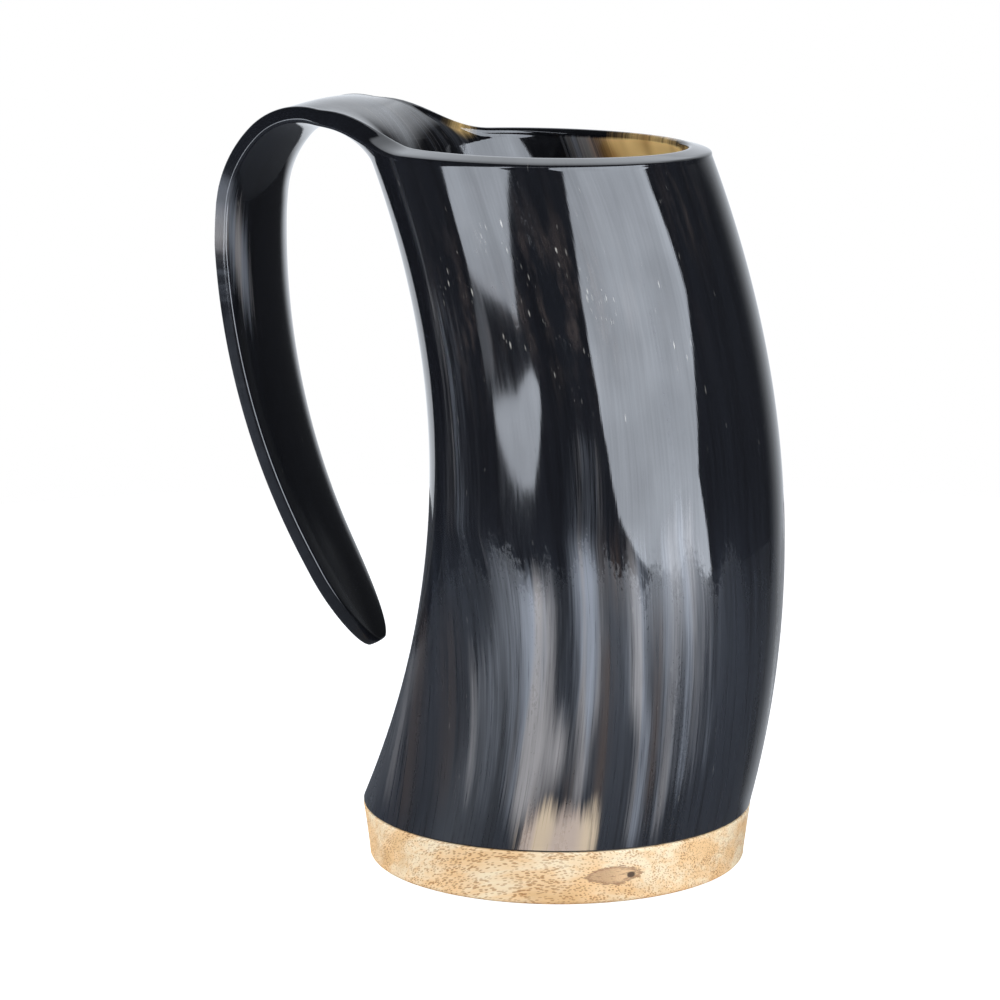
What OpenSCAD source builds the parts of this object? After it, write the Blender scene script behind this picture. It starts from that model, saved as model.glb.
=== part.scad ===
// Horn drinking cup: a tankard cut from one horn, wide end down, on a turned wooden base.
// A strip of the rim is left on the horn, bent over outward and down, and serves as the handle.
// Millimetres, +Z up. The origin is the centre of the base's underside and the handle is towards -X.

/* [Horn] */
// Height of the rim above the table
rim_height = 151; // [120:1:180]
// Rise of the rim at the handle side, and its fall at the far side, from a hand-made cut
rim_rise = 0.6; // [0:0.1:2]
// Outside diameter of the horn's lower end
horn_foot_d = 82; // [76:0.5:92]
// Outside diameter of the horn at the rim
horn_rim_d = 70.5; // [64:0.5:80]
// Distance of the rim's centre from the base's centre, towards the handle
rim_shift = 5; // [0:0.5:10]
// Bow of the horn's centre line at half height, away from the handle
horn_bow = 13; // [8:0.5:16]
// Narrowing of the horn's radius at half height
horn_waist = 1.4; // [0:0.1:3]
// Wall thickness just above the base
foot_wall = 4; // [3:0.1:5]
// Wall thickness at the rim
rim_wall = 4.95; // [4:0.05:6]
// Fall of the rim's flat top from its inner to its outer edge
rim_bevel = 1.2; // [0:0.1:2]
// Height of the rounding on the free edges of the rim and the handle
edge_round = 0.9; // [0.5:0.1:1.4]

/* [Handle] */
// Angle each side of the handle's middle at which the rim starts to run into the handle
root_angle = 54; // [48:1:60]
// Depth below the rounded edge of the rim at which the wall starts to bend out
bend_drop = 3.8; // [1.5:0.1:4.5]
// Length of the bend over which the round wall flattens and turns into the strip
flatten_run = 12; // [9:0.5:15]
// Radius of the crown, on the underside
crown_r = 11.6; // [9:0.1:15]
// Turn of the crown, in degrees
crown_turn = 118; // [105:0.5:122]
// Radius of the shoulder below the crown
shoulder_r = 22.5; // [18:0.5:28]
// Turn of the shoulder, in degrees
shoulder_turn = 38; // [34:1:44]
// Radius of the long curve of the grip
grip_r = 144; // [120:1:180]
// Turn of the grip, in degrees
grip_turn = 29.5; // [22:0.5:31]
// Straight run at the lower end of the handle
tip_run = 23; // [16:1:30]
// Width of the handle at its crown
crown_w = 36; // [30:0.5:40]
// Width of the handle at the grip
grip_w = 35.5; // [28:0.5:40]
// Width of the handle where its tip would end if it were square
tip_w = 20.5; // [14:0.5:24]
// Length of the rounded tip
tip_round = 17; // [10:0.5:20]
// Thickness of the handle at its sides
handle_t = 3.4; // [2.8:0.1:4.2]
// Extra thickness along the handle's middle, on its outside
handle_belly = 2.2; // [0:0.1:3]
// Length of the fillet between the rim and the handle's sides
root_fillet = 11; // [8:0.5:14]
// Hollow of the handle's section at the crown, edge to middle
crown_dish = 0; // [0:0.1:2.5]
// Hollow of the handle's section at the grip
grip_dish = 3.2; // [1:0.1:4]
// Hollow of the handle's section at the tip
tip_dish = 1.7; // [0.5:0.1:2.5]

/* [Base] */
// Height of the wooden base below the joint
base_h = 11.5; // [8:0.5:16]
// How far the base's side draws in from the horn down to the underside
base_draw = 1.25; // [0:0.05:4]
// Rounding of the base's lower edge
base_edge_r = 1.2; // [0.5:0.1:2]
// Rounding of the base's upper edge
shoulder_edge_r = 0.4; // [0.2:0.1:0.8]
// Wall of the horn's lower end around the round seat that is cut in it
seat_wall = 6; // [5:0.1:8]
// Height of the plug above the base's shoulder
plug_h = 5; // [3:0.5:6]
// Chamfer on the plug's upper edge
plug_chamfer = 0.8; // [0.4:0.1:1.2]
// Gap around the plug
plug_gap = 0.15; // [0.1:0.05:0.3]
// Thickness of the glue line
glue_t = 0.4; // [0.2:0.1:0.8]
// Depth of the glue line behind the outer surface
glue_setback = 0.5; // [0.2:0.1:1]
// Thickness of the resin layer over the plug
seal_t = 1.4; // [0.8:0.1:2]
// Height that the resin climbs up the wall of the seat
seal_climb = 0.8; // [0.4:0.1:1.2]

/* [Hidden] */
// Squareness of the rounded edges: one is an ellipse, and less is squarer
edge_square_share = 0.4;
// Place of the grip's widest point along the handle
grip_place_share = 0.35;
// Length above the seat over which the inside opens out to the natural wall
seat_blend = 14;
// Distance between the points that give the slope of the sheet
probe = 0.01;
// Turn of the rounded tip up to its blunt end, in degrees
tip_sweep = 80;

// Counts of columns and rows in the horn's sheet
root_cols = 8;
wrap_cols = 42;
body_rows = 13;
flare_rows = 4;
fillet_rows = 6;
crown_rows = 14;
grip_rows = 12;
tip_rows = 6;
edge_steps = 5;
arc_steps = 5;
turned_fn = 96;

// Heights and radii that follow from the sizes above
horn_z0 = base_h + glue_t;
horn_foot_r = horn_foot_d / 2;
horn_rim_r = horn_rim_d / 2;
base_foot_d = horn_foot_d - 2 * base_draw;
seat_d = horn_foot_d - 2 * seat_wall;
seat_r = seat_d / 2;
plug_r = seat_r - plug_gap;
plug_top = base_h + plug_h;
seat_top = plug_top + seal_t + seal_climb;
lip_z = rim_height - edge_round - rim_bevel;
horn_rise = lip_z - horn_z0;

// The handle's bends on its underside, as radius and turn, from the rim to the tip
bends = [[crown_r, crown_turn], [shoulder_r, shoulder_turn], [grip_r, grip_turn]];
bend_lengths = [for (b = bends) b[0] * b[1] * PI / 180];
strip_length = bend_lengths[0] + bend_lengths[1] + bend_lengths[2] + tip_run - bend_drop - edge_round;
crown_end = bend_lengths[0] + bend_lengths[1] - bend_drop;
tip_start = strip_length - tip_round;

// Plain helpers
function mix(a, b, t) = a + (b - a) * t;
function clamp_share(t) = max(0, min(1, t));
function smooth(t) = let (c = clamp_share(t)) c * c * (3 - 2 * c);
function hump(t) = 4 * t * (1 - t);
function unit(v) = v / norm(v);
function leg(r, y) = sqrt(max(0, r * r - y * y));

// The horn's centre line bows away from the handle, and its round sections are narrowest at mid height
function up_share(z) = (z - horn_z0) / (rim_height - horn_z0);
function axis_x(z) = let (t = up_share(z)) horn_bow * hump(t) - rim_shift * t;
function horn_r(z) = let (t = up_share(z)) mix(horn_foot_r, horn_rim_r, t) - horn_waist * hump(t);
function wall_t(z) = mix(foot_wall, rim_wall, up_share(z));
function back_x(z) = axis_x(z) - horn_r(z);
function back_lean(z) = atan2(back_x(z - probe) - back_x(z + probe), 2 * probe);
root_half_w = horn_r(lip_z) * sin(root_angle);

// Height of the rim's edge at a point y off the handle's middle, and at an angle from it
function lip_at(y) = lip_z + rim_rise * leg(1, y / horn_r(lip_z));
function lip_round(a) = lip_z + rim_rise * cos(a);

// Where the bend starts, as a length past the rim: deepest in the middle, at the rim itself at the sides
function bend_start(y) = -bend_drop * (1 - min(1, pow(y / root_half_w, 2)));

// Walk a length u along the bends from place p with heading h, and give the place and the heading
function walk(p, h, u, i = 0) =
    i == len(bends) ? [p[0] - u * sin(h), p[1] + u * cos(h), h]
    : let (r = bends[i][0])
      let (run = min(u, bend_lengths[i]))
      let (h_end = h + run / r * 180 / PI)
      let (p_end = [p[0] + r * (cos(h_end) - cos(h)), p[1] + r * (sin(h_end) - sin(h))])
      walk(p_end, h_end, u - run, i + 1);

// Hollow of the strip's section for one unit of squared width
function dish(run) =
    let (m = clamp_share(run / strip_length))
    let (at_crown = crown_dish / pow(crown_w / 2, 2))
    let (at_grip = grip_dish / pow(grip_w / 2, 2))
    let (at_tip = tip_dish / pow(tip_w / 2, 2))
    m < grip_place_share ? mix(at_crown, at_grip, smooth(m / grip_place_share))
    : mix(at_grip, at_tip, (m - grip_place_share) / (1 - grip_place_share));

// Outer surface of the horn on the handle side, y off its middle and a length run past the rim
function sheet(y, run) =
    let (start = bend_start(y))
    let (z = lip_at(y) + min(run, start))
    let (u = max(0, run - start))
    let (hollow = horn_r(z) - leg(horn_r(z), y))
    let (lean = back_lean(z))
    let (end = walk([back_x(z), z], lean, u))
    let (depth = mix(hollow, dish(run) * y * y, smooth(u / flatten_run)))
    let (turn = (end[2] - lean) * smooth(u / flatten_run))
    [end[0] + depth * cos(turn), y, end[1] + depth * sin(turn)];

// Direction out of the sheet: level on the wall, square to the surface on the strip
function sheet_out(y, run) =
    let (along = sheet(y, run + probe) - sheet(y, run - probe))
    let (across = sheet(y + probe, run) - sheet(y - probe, run))
    let (r = horn_r(lip_at(y) + min(run, bend_start(y))))
    let (level = [-leg(r, y), y, 0] / r)
    unit(mix(level, unit(cross(along, across)), smooth((run - bend_start(y)) / flatten_run)));

// Extra thickness of the strip, most in its middle and none at its sides and its tip
function belly(y, run) =
    let (off = clamp_share(abs(y) / strip_half_w(max(0, run))))
    handle_belly * (1 - off * off) * leg(1, clamp_share((run - tip_start) / tip_round));

// Thickness of the sheet, from the wall's to the strip's
function sheet_t(y, run) =
    let (wall = wall_t(lip_at(y) + min(run, bend_start(y))))
    mix(wall, handle_t + belly(y, run), smooth((run - bend_start(y)) / flatten_run));

// Half width of the strip at a length past the rim, with the fillet at its root and its rounded tip
function strip_half_w(run) =
    let (m = run / strip_length)
    let (upper = mix(crown_w, grip_w, smooth(m / grip_place_share)))
    let (lower = mix(grip_w, tip_w, (m - grip_place_share) / (1 - grip_place_share)))
    let (plain = (m < grip_place_share ? upper : lower) / 2 - edge_round)
    let (fillet = (root_half_w - crown_w / 2 + edge_round) * (1 - leg(1, 1 - clamp_share(run / root_fillet))))
    (plain + fillet) * leg(1, clamp_share((run - tip_start) / tip_round));

// Columns of the sheet: even steps of width across the handle's root, then even angles round the rest
col_angles = concat(
    [for (j = [-root_cols : root_cols]) asin(j / root_cols * sin(root_angle))],
    [for (j = [1 : wrap_cols - 1]) mix(root_angle, 360 - root_angle, j / wrap_cols)]);
n_cols = len(col_angles);
strip_cols = 2 * root_cols + 1;

// Rows of the wall as shares of its height, and rows of the strip as lengths past the rim
seat_share = (seat_top - horn_z0) / horn_rise;
flare_share = 1 - bend_drop / horn_rise;
wall_shares = concat([0],
    [for (i = [0 : body_rows]) mix(seat_share, flare_share, i / body_rows)],
    [for (i = [1 : flare_rows]) mix(flare_share, 1, i / flare_rows)]);
strip_runs = concat(
    [for (i = [1 : fillet_rows]) root_fillet * (1 - cos(90 * i / fillet_rows))],
    [for (i = [1 : crown_rows]) mix(root_fillet, crown_end, i / crown_rows)],
    [for (i = [1 : grip_rows]) mix(crown_end, tip_start, i / grip_rows)],
    [for (i = [1 : tip_rows]) tip_start + tip_round * sin(tip_sweep * i / tip_rows)]);
top_row = len(wall_shares) - 1;
strip_rows = len(strip_runs);

// Outer and inner points of the wall at a column and a height share
function wall_outer(j, share) =
    let (a = col_angles[j])
    let (z = mix(horn_z0, lip_round(a), share))
    let (y = horn_r(z) * sin(a))
    j < strip_cols ? sheet(y, z - lip_at(y)) : [axis_x(z) - horn_r(z) * cos(a), y, z];
function wall_inner(j, share) =
    let (a = col_angles[j])
    let (z = mix(horn_z0, lip_round(a), share))
    let (y = horn_r(z) * sin(a))
    let (run = z - lip_at(y))
    let (out = j < strip_cols ? sheet_out(y, run) : [-cos(a), sin(a), 0])
    let (t = j < strip_cols ? sheet_t(y, run) : wall_t(z))
    let (seat = [-seat_r * cos(a), seat_r * sin(a), z])
    mix(seat, wall_outer(j, share) - t * out, smooth((z - seat_top) / seat_blend));

// Outer and inner points of the strip at a column and a length past the rim
function strip_y(j, run) = strip_half_w(run) * (j / root_cols - 1);
function strip_outer(j, run) = sheet(strip_y(j, run), run);
function strip_inner(j, run) =
    let (y = strip_y(j, run))
    sheet(y, run) - sheet_t(y, run) * sheet_out(y, run);

outer_skin = concat(
    [for (share = wall_shares) for (j = [0 : n_cols - 1]) wall_outer(j, share)],
    [for (run = strip_runs) for (j = [0 : strip_cols - 1]) strip_outer(j, run)]);
inner_skin = concat(
    [for (share = wall_shares) for (j = [0 : n_cols - 1]) wall_inner(j, share)],
    [for (run = strip_runs) for (j = [0 : strip_cols - 1]) strip_inner(j, run)]);
n_skin = len(outer_skin);

// Places of the points in the skin's list: row 0 of the strip is the rim
function wall_at(i, j) = i * n_cols + j % n_cols;
function strip_at(i, j) = i == 0 ? wall_at(top_row, j) : (top_row + 1) * n_cols + (i - 1) * strip_cols + j;

// The free edge of the sheet, once round: the rim, down one side of the strip, its tip, and up the other
edge_loop = concat(
    [for (j = [strip_cols - 1 : n_cols]) wall_at(top_row, j)],
    [for (i = [1 : strip_rows]) strip_at(i, 0)],
    [for (j = [1 : strip_cols - 2]) strip_at(strip_rows, j)],
    [for (i = [strip_rows : -1 : 1]) strip_at(i, strip_cols - 1)]);
n_edge = len(edge_loop);
function edge_middle(k) = let (p = edge_loop[k % n_edge]) (outer_skin[p] + inner_skin[p]) / 2;
function edge_half(k) = let (p = edge_loop[k % n_edge]) (outer_skin[p] - inner_skin[p]) / 2;
function edge_out(k) =
    let (ahead = edge_middle(k + 1) - edge_middle(k + n_edge - 1))
    unit(cross(ahead, edge_half(k)));

// The edge's section is a squared round, which rises towards the inside where the edge is level, at the rim
function edge_rise(k, across) = edge_round + rim_bevel * max(0, edge_out(k)[2]) * (1 - across) / 2;
edge_points = [for (k = [0 : n_edge - 1]) for (i = [1 : edge_steps - 1])
    let (f = 180 * i / edge_steps)
    let (across = sign(cos(f)) * pow(abs(cos(f)), edge_square_share))
    let (high = pow(sin(f), edge_square_share))
    edge_middle(k) + edge_half(k) * across + edge_out(k) * high * edge_rise(k, across)];
function edge_at(k, i) =
    let (c = k % n_edge)
    i == 0 ? edge_loop[c]
    : i == edge_steps ? edge_loop[c] + n_skin
    : 2 * n_skin + c * (edge_steps - 1) + i - 1;

// Two triangles for each four-sided patch, turned the same way round
function patch(a, b, c, d) = [[a, c, b], [a, d, c]];
function wall_patches(i, j) = patch(wall_at(i, j), wall_at(i + 1, j), wall_at(i + 1, j + 1), wall_at(i, j + 1));
function strip_patches(i, j) =
    patch(strip_at(i, j), strip_at(i + 1, j), strip_at(i + 1, j + 1), strip_at(i, j + 1));
outer_faces = concat(
    [for (i = [0 : top_row - 1]) for (j = [0 : n_cols - 1]) each wall_patches(i, j)],
    [for (i = [0 : strip_rows - 1]) for (j = [0 : strip_cols - 2]) each strip_patches(i, j)]);
inner_faces = [for (f = outer_faces) [f[0] + n_skin, f[2] + n_skin, f[1] + n_skin]];
edge_faces = [for (k = [0 : n_edge - 1]) for (i = [0 : edge_steps - 1])
    each patch(edge_at(k, i), edge_at(k, i + 1), edge_at(k + 1, i + 1), edge_at(k + 1, i))];
foot_faces = [for (j = [0 : n_cols - 1])
    each patch(wall_at(0, j), wall_at(0, j + 1), wall_at(0, j + 1) + n_skin, wall_at(0, j) + n_skin)];

// The vessel and its handle: one sheet of horn with rounded free edges
module horn_body() {
    color("#1b1a1c")
        polyhedron(
            points = concat(outer_skin, inner_skin, edge_points),
            faces = concat(outer_faces, inner_faces, edge_faces, foot_faces),
            convexity = 10);
}

// A quarter round on a profile's corner, about centre c, from angle a0 to angle a1
function quarter(c, r, a0, a1) =
    [for (i = [0 : arc_steps]) let (a = mix(a0, a1, i / arc_steps)) c + r * [cos(a), sin(a)]];

// The turned wooden base: a flat underside, a side that widens to the horn, a shoulder and a plug
module wood_base() {
    foot_c = [base_foot_d / 2 - base_edge_r, base_edge_r];
    shoulder_c = [horn_foot_r - shoulder_edge_r, base_h - shoulder_edge_r];
    profile = concat(
        [[0, 0]],
        quarter(foot_c, base_edge_r, -90, 0),
        quarter(shoulder_c, shoulder_edge_r, 0, 90),
        [[plug_r, base_h],
         [plug_r, plug_top - plug_chamfer],
         [plug_r - plug_chamfer, plug_top],
         [0, plug_top]]);
    color("#d9b48c") rotate_extrude($fn = turned_fn) polygon(profile);
}

// The glue line between the base's shoulder and the horn's lower end
module glue_seam() {
    color("#2a211b")
        translate([0, 0, base_h])
            difference() {
                cylinder(r = horn_foot_r - glue_setback, h = glue_t, $fn = turned_fn);
                translate([0, 0, -glue_t]) cylinder(r = seat_r, h = 3 * glue_t, $fn = turned_fn);
            }
}

// The resin over the plug, which climbs a little where it meets the seat's wall
module seal_layer() {
    cove_c = [plug_r - seal_climb, plug_top + seal_t + seal_climb];
    profile = concat(
        [[0, plug_top],
         [plug_r, plug_top]],
        quarter(cove_c, seal_climb, 0, -90),
        [[0, plug_top + seal_t]]);
    color("#8a5a2a") rotate_extrude($fn = turned_fn) polygon(profile);
}

horn_body();
wood_base();
glue_seam();
seal_layer();
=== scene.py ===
"""Looks of the horn drinking cup: polished horn, turned wood, glue and resin, in a plain white studio."""

import math

import bmesh
import bpy
import numpy as np
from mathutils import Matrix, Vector


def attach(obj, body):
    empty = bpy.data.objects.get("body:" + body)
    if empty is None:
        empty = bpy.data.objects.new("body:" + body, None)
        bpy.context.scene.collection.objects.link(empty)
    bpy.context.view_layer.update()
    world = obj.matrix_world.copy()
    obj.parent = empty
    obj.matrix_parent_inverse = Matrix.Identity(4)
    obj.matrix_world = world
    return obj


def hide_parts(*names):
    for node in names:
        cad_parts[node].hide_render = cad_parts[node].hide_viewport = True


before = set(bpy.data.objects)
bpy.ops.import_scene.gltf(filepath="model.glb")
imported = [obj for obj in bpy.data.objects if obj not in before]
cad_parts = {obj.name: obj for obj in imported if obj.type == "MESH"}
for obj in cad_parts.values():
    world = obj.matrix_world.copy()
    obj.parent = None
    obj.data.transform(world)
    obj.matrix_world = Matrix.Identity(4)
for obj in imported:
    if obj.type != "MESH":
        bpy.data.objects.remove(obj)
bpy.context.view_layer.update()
MM = 0.001

# Sizes of the horn, in millimetres
RIM_HEIGHT = 151
RIM_RISE = 0.6
HORN_FOOT_R = 41
HORN_RIM_R = 35.25
RIM_SHIFT = 5
HORN_BOW = 13
HORN_WAIST = 1.4
FOOT_WALL = 4
RIM_WALL = 4.95
RIM_BEVEL = 1.2
SEAT_R = 35
SEAT_BLEND = 14
EDGE_ROUND = 0.9
EDGE_SQUARE_SHARE, STRIP_SQUARE_SHARE = 0.4, 0.6

# Sizes of the handle, in millimetres and degrees
ROOT_ANGLE = 54
BEND_DROP = 3.8
FLATTEN_RUN = 12
CROWN_R, CROWN_TURN = 11.6, 118
SHOULDER_R, SHOULDER_TURN = 22.5, 38
GRIP_R, GRIP_TURN = 144, 29.5
TIP_RUN = 23
CROWN_W, GRIP_W, TIP_W = 36, 35.5, 20.5
TIP_ROUND = 17
TIP_SWEEP = 80
HANDLE_T = 3.4
HANDLE_BELLY = 2.2
ROOT_FILLET = 11
CROWN_DISH, GRIP_DISH, TIP_DISH = 0, 3.2, 1.7
GRIP_PLACE_SHARE = 0.35

# Sizes of the base, the glue line and the resin, in millimetres
BASE_H = 11.5
BASE_FOOT_R = 39.75
BASE_EDGE_R = 1.2
SHOULDER_EDGE_R = 0.4
PLUG_R = 34.85
PLUG_TOP = 16.5
PLUG_CHAMFER = 0.8
GLUE_T = 0.4
SEAL_TOP = 18.7

# Counts of columns and rows in the fine meshes
ROOT_COLS = 26
WRAP_COLS = 240
WALL_ROWS = 110
FLARE_ROWS = 12
FILLET_ROWS = 18
CROWN_ROWS = 48
GRIP_ROWS = 46
TIP_ROWS = 18
EDGE_STEPS = 16
SEAT_ROWS = 6
BASE_COLS = 360
SIDE_ROWS, UNDER_ROWS, TOP_ROWS = 22, 12, 8
ARC_STEPS = 6
# Step over which slopes are measured, in millimetres
PROBE = 0.01

# Values that follow from the sizes
HORN_Z0 = BASE_H + GLUE_T
LIP_Z = RIM_HEIGHT - EDGE_ROUND - RIM_BEVEL
BENDS = ((CROWN_R, CROWN_TURN), (SHOULDER_R, SHOULDER_TURN), (GRIP_R, GRIP_TURN))
BEND_LENGTHS = [radius * math.radians(turn) for radius, turn in BENDS]
STRIP_LENGTH = sum(BEND_LENGTHS) + TIP_RUN - BEND_DROP - EDGE_ROUND
CROWN_END = BEND_LENGTHS[0] + BEND_LENGTHS[1] - BEND_DROP
TIP_START = STRIP_LENGTH - TIP_ROUND


# Plain helpers
def mix(a, b, t):
    return a + (b - a) * t


def smooth(t):
    c = np.clip(t, 0, 1)
    return c * c * (3 - 2 * c)


def rise(value, start, run):
    return smooth((value - start) / run)


def fall(value, end, run):
    return smooth((end - value) / run)


def hump(t):
    return 4 * t * (1 - t)


def leg(r, y):
    return np.sqrt(np.maximum(0, r * r - y * y))


def unit(v):
    return v / np.linalg.norm(v, axis=-1, keepdims=True)


def bell(value, centre, width):
    return np.exp(-(((value - centre) / width) ** 2))


def wrap(degrees):
    return (degrees + 180) % 360 - 180


def angle_bell(angle, centre, width):
    return bell(wrap(angle - centre), 0, width)


# The horn's centre line, radius, wall and back
def up_share(z):
    return (z - HORN_Z0) / (RIM_HEIGHT - HORN_Z0)


def axis_x(z):
    t = up_share(z)
    return HORN_BOW * hump(t) - RIM_SHIFT * t


def horn_r(z):
    t = up_share(z)
    return mix(HORN_FOOT_R, HORN_RIM_R, t) - HORN_WAIST * hump(t)


def wall_t(z):
    return mix(FOOT_WALL, RIM_WALL, up_share(z))


def back_x(z):
    return axis_x(z) - horn_r(z)


def back_lean(z):
    return np.arctan2(back_x(z - PROBE) - back_x(z + PROBE), 2 * PROBE)


ROOT_HALF_W = horn_r(LIP_Z) * math.sin(math.radians(ROOT_ANGLE))


# The sheet of horn on the handle side: the wall, the bend at the rim and the strip
def lip_at(y):
    return LIP_Z + RIM_RISE * leg(1, y / horn_r(LIP_Z))


def bend_start(y):
    return -BEND_DROP * (1 - np.minimum(1, (y / ROOT_HALF_W) ** 2))


def bent_share(y, run):
    return smooth((run - bend_start(y)) / FLATTEN_RUN)


def walk(x, z, heading, run):
    for (radius, _), length in zip(BENDS, BEND_LENGTHS):
        part = np.minimum(run, length)
        end = heading + part / radius
        x = x + radius * (np.cos(end) - np.cos(heading))
        z = z + radius * (np.sin(end) - np.sin(heading))
        heading = end
        run = run - part
    return x - run * np.sin(heading), z + run * np.cos(heading), heading


def dish(run):
    m = np.clip(run / STRIP_LENGTH, 0, 1)
    crown = CROWN_DISH / (CROWN_W / 2) ** 2
    grip = GRIP_DISH / (GRIP_W / 2) ** 2
    tip = TIP_DISH / (TIP_W / 2) ** 2
    upper = mix(crown, grip, smooth(m / GRIP_PLACE_SHARE))
    lower = mix(grip, tip, (m - GRIP_PLACE_SHARE) / (1 - GRIP_PLACE_SHARE))
    return np.where(m < GRIP_PLACE_SHARE, upper, lower)


def sheet(y, run):
    start = bend_start(y)
    z = lip_at(y) + np.minimum(run, start)
    hollow = horn_r(z) - leg(horn_r(z), y)
    lean = back_lean(z)
    end_x, end_z, heading = walk(back_x(z), z, lean, np.maximum(0, run - start))
    bent = bent_share(y, run)
    depth = mix(hollow, dish(run) * y * y, bent)
    turn = (heading - lean) * bent
    return np.stack([end_x + depth * np.cos(turn), y + 0 * end_x, end_z + depth * np.sin(turn)], axis=-1)


def sheet_out(y, run):
    along = sheet(y, run + PROBE) - sheet(y, run - PROBE)
    across = sheet(y + PROBE, run) - sheet(y - PROBE, run)
    r = horn_r(lip_at(y) + np.minimum(run, bend_start(y)))
    level = np.stack([-leg(r, y) / r, y / r, 0 * r], axis=-1)
    return unit(mix(level, unit(np.cross(along, across)), bent_share(y, run)[..., None]))


def tip_share(run):
    return leg(1, np.clip((run - TIP_START) / TIP_ROUND, 0, 1))


def strip_half_w(run):
    m = run / STRIP_LENGTH
    upper = mix(CROWN_W, GRIP_W, smooth(m / GRIP_PLACE_SHARE))
    lower = mix(GRIP_W, TIP_W, (m - GRIP_PLACE_SHARE) / (1 - GRIP_PLACE_SHARE))
    plain = np.where(m < GRIP_PLACE_SHARE, upper, lower) / 2 - EDGE_ROUND
    spread = ROOT_HALF_W - CROWN_W / 2 + EDGE_ROUND
    fillet = spread * (1 - leg(1, 1 - np.clip(run / ROOT_FILLET, 0, 1)))
    return (plain + fillet) * tip_share(run)


def sheet_t(y, run):
    across = np.clip(y / np.maximum(strip_half_w(np.maximum(run, 0)), 1), -1, 1)
    strip = HANDLE_T + HANDLE_BELLY * tip_share(run) * (1 - across ** 2)
    return mix(wall_t(lip_at(y) + np.minimum(run, bend_start(y))), strip, bent_share(y, run))


# Rows and columns of the fine horn mesh
def wall_columns():
    root = np.arange(-ROOT_COLS, ROOT_COLS + 1) / ROOT_COLS * math.sin(math.radians(ROOT_ANGLE))
    wrap = mix(ROOT_ANGLE, 360 - ROOT_ANGLE, np.arange(1, WRAP_COLS) / WRAP_COLS)
    return np.concatenate([np.arcsin(root), np.radians(wrap)])


def wall_shares():
    height = LIP_Z - HORN_Z0
    flare = 1 - BEND_DROP / height
    seat = (SEAL_TOP - HORN_Z0) / height
    low = np.linspace(0, seat, SEAT_ROWS)[:-1]
    body = np.linspace(seat, flare, WALL_ROWS)[:-1]
    return np.concatenate([low, body, np.linspace(flare, 1, FLARE_ROWS)])


def strip_runs():
    fillet = ROOT_FILLET * (1 - np.cos(np.linspace(0, math.pi / 2, FILLET_ROWS + 1)))
    crown = np.linspace(ROOT_FILLET, CROWN_END, CROWN_ROWS + 1)
    grip = np.linspace(CROWN_END, TIP_START, GRIP_ROWS + 1)
    tip = TIP_START + TIP_ROUND * np.sin(np.linspace(0, math.radians(TIP_SWEEP), TIP_ROWS + 1))
    return np.concatenate([fillet[1:], crown[1:], grip[1:], tip[1:]])


# Slight unevenness of a surface scraped and polished by hand, in millimetres, by angle and length along
WAVES = ((0.030, 5, 21, 0.4), (0.022, 9, 34, 2.1), (0.014, 14, 13, 4.0), (0.012, 3, 9, 1.2))


def unevenness(angle, along):
    total = 0 * angle
    for height, turns, length, phase in WAVES:
        total = total + height * np.sin(turns * angle + along / length + phase)
    return total


def horn_skins():
    """Outer and inner points of the wall and of the strip, with angle and length along for each."""
    angles = wall_columns()
    shares = wall_shares()
    a, share = np.meshgrid(angles, shares)
    z = mix(HORN_Z0, LIP_Z + RIM_RISE * np.cos(a), share)
    y = horn_r(z) * np.sin(a)
    round_out = np.stack([-np.cos(a), np.sin(a), 0 * a], axis=-1)
    outer = np.stack([axis_x(z), 0 * z, z], axis=-1) + horn_r(z)[..., None] * round_out
    out = round_out.copy()
    thick = wall_t(z)
    root = slice(0, 2 * ROOT_COLS + 1)
    y_root = y[:, root]
    run_root = z[:, root] - lip_at(y_root)
    outer[:, root] = sheet(y_root, run_root)
    out[:, root] = sheet_out(y_root, run_root)
    thick[:, root] = sheet_t(y_root, run_root)
    seat = SEAT_R * round_out + np.stack([0 * z, 0 * z, z], axis=-1)
    opened = smooth((z - SEAL_TOP) / SEAT_BLEND)[..., None]
    inner = mix(seat, outer - thick[..., None] * out, opened)
    outer = outer + unevenness(a, z)[..., None] * out

    runs = strip_runs()
    across, run = np.meshgrid(np.arange(-ROOT_COLS, ROOT_COLS + 1) / ROOT_COLS, runs)
    y_strip = strip_half_w(run) * across
    strip_outer = sheet(y_strip, run)
    strip_out = sheet_out(y_strip, run)
    strip_inner = strip_outer - sheet_t(y_strip, run)[..., None] * strip_out
    strip_a = np.arcsin(y_strip / HORN_RIM_R)
    strip_z = lip_at(y_strip) + run
    strip_outer = strip_outer + unevenness(strip_a, strip_z)[..., None] * strip_out
    places = np.concatenate([
        np.stack([a, z], axis=-1).reshape(-1, 2),
        np.stack([strip_a, strip_z], axis=-1).reshape(-1, 2)])
    outer_skin = np.concatenate([outer.reshape(-1, 3), strip_outer.reshape(-1, 3)])
    inner_skin = np.concatenate([inner.reshape(-1, 3), strip_inner.reshape(-1, 3)])
    return outer_skin, inner_skin, places, len(shares), len(angles), len(runs)


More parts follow.
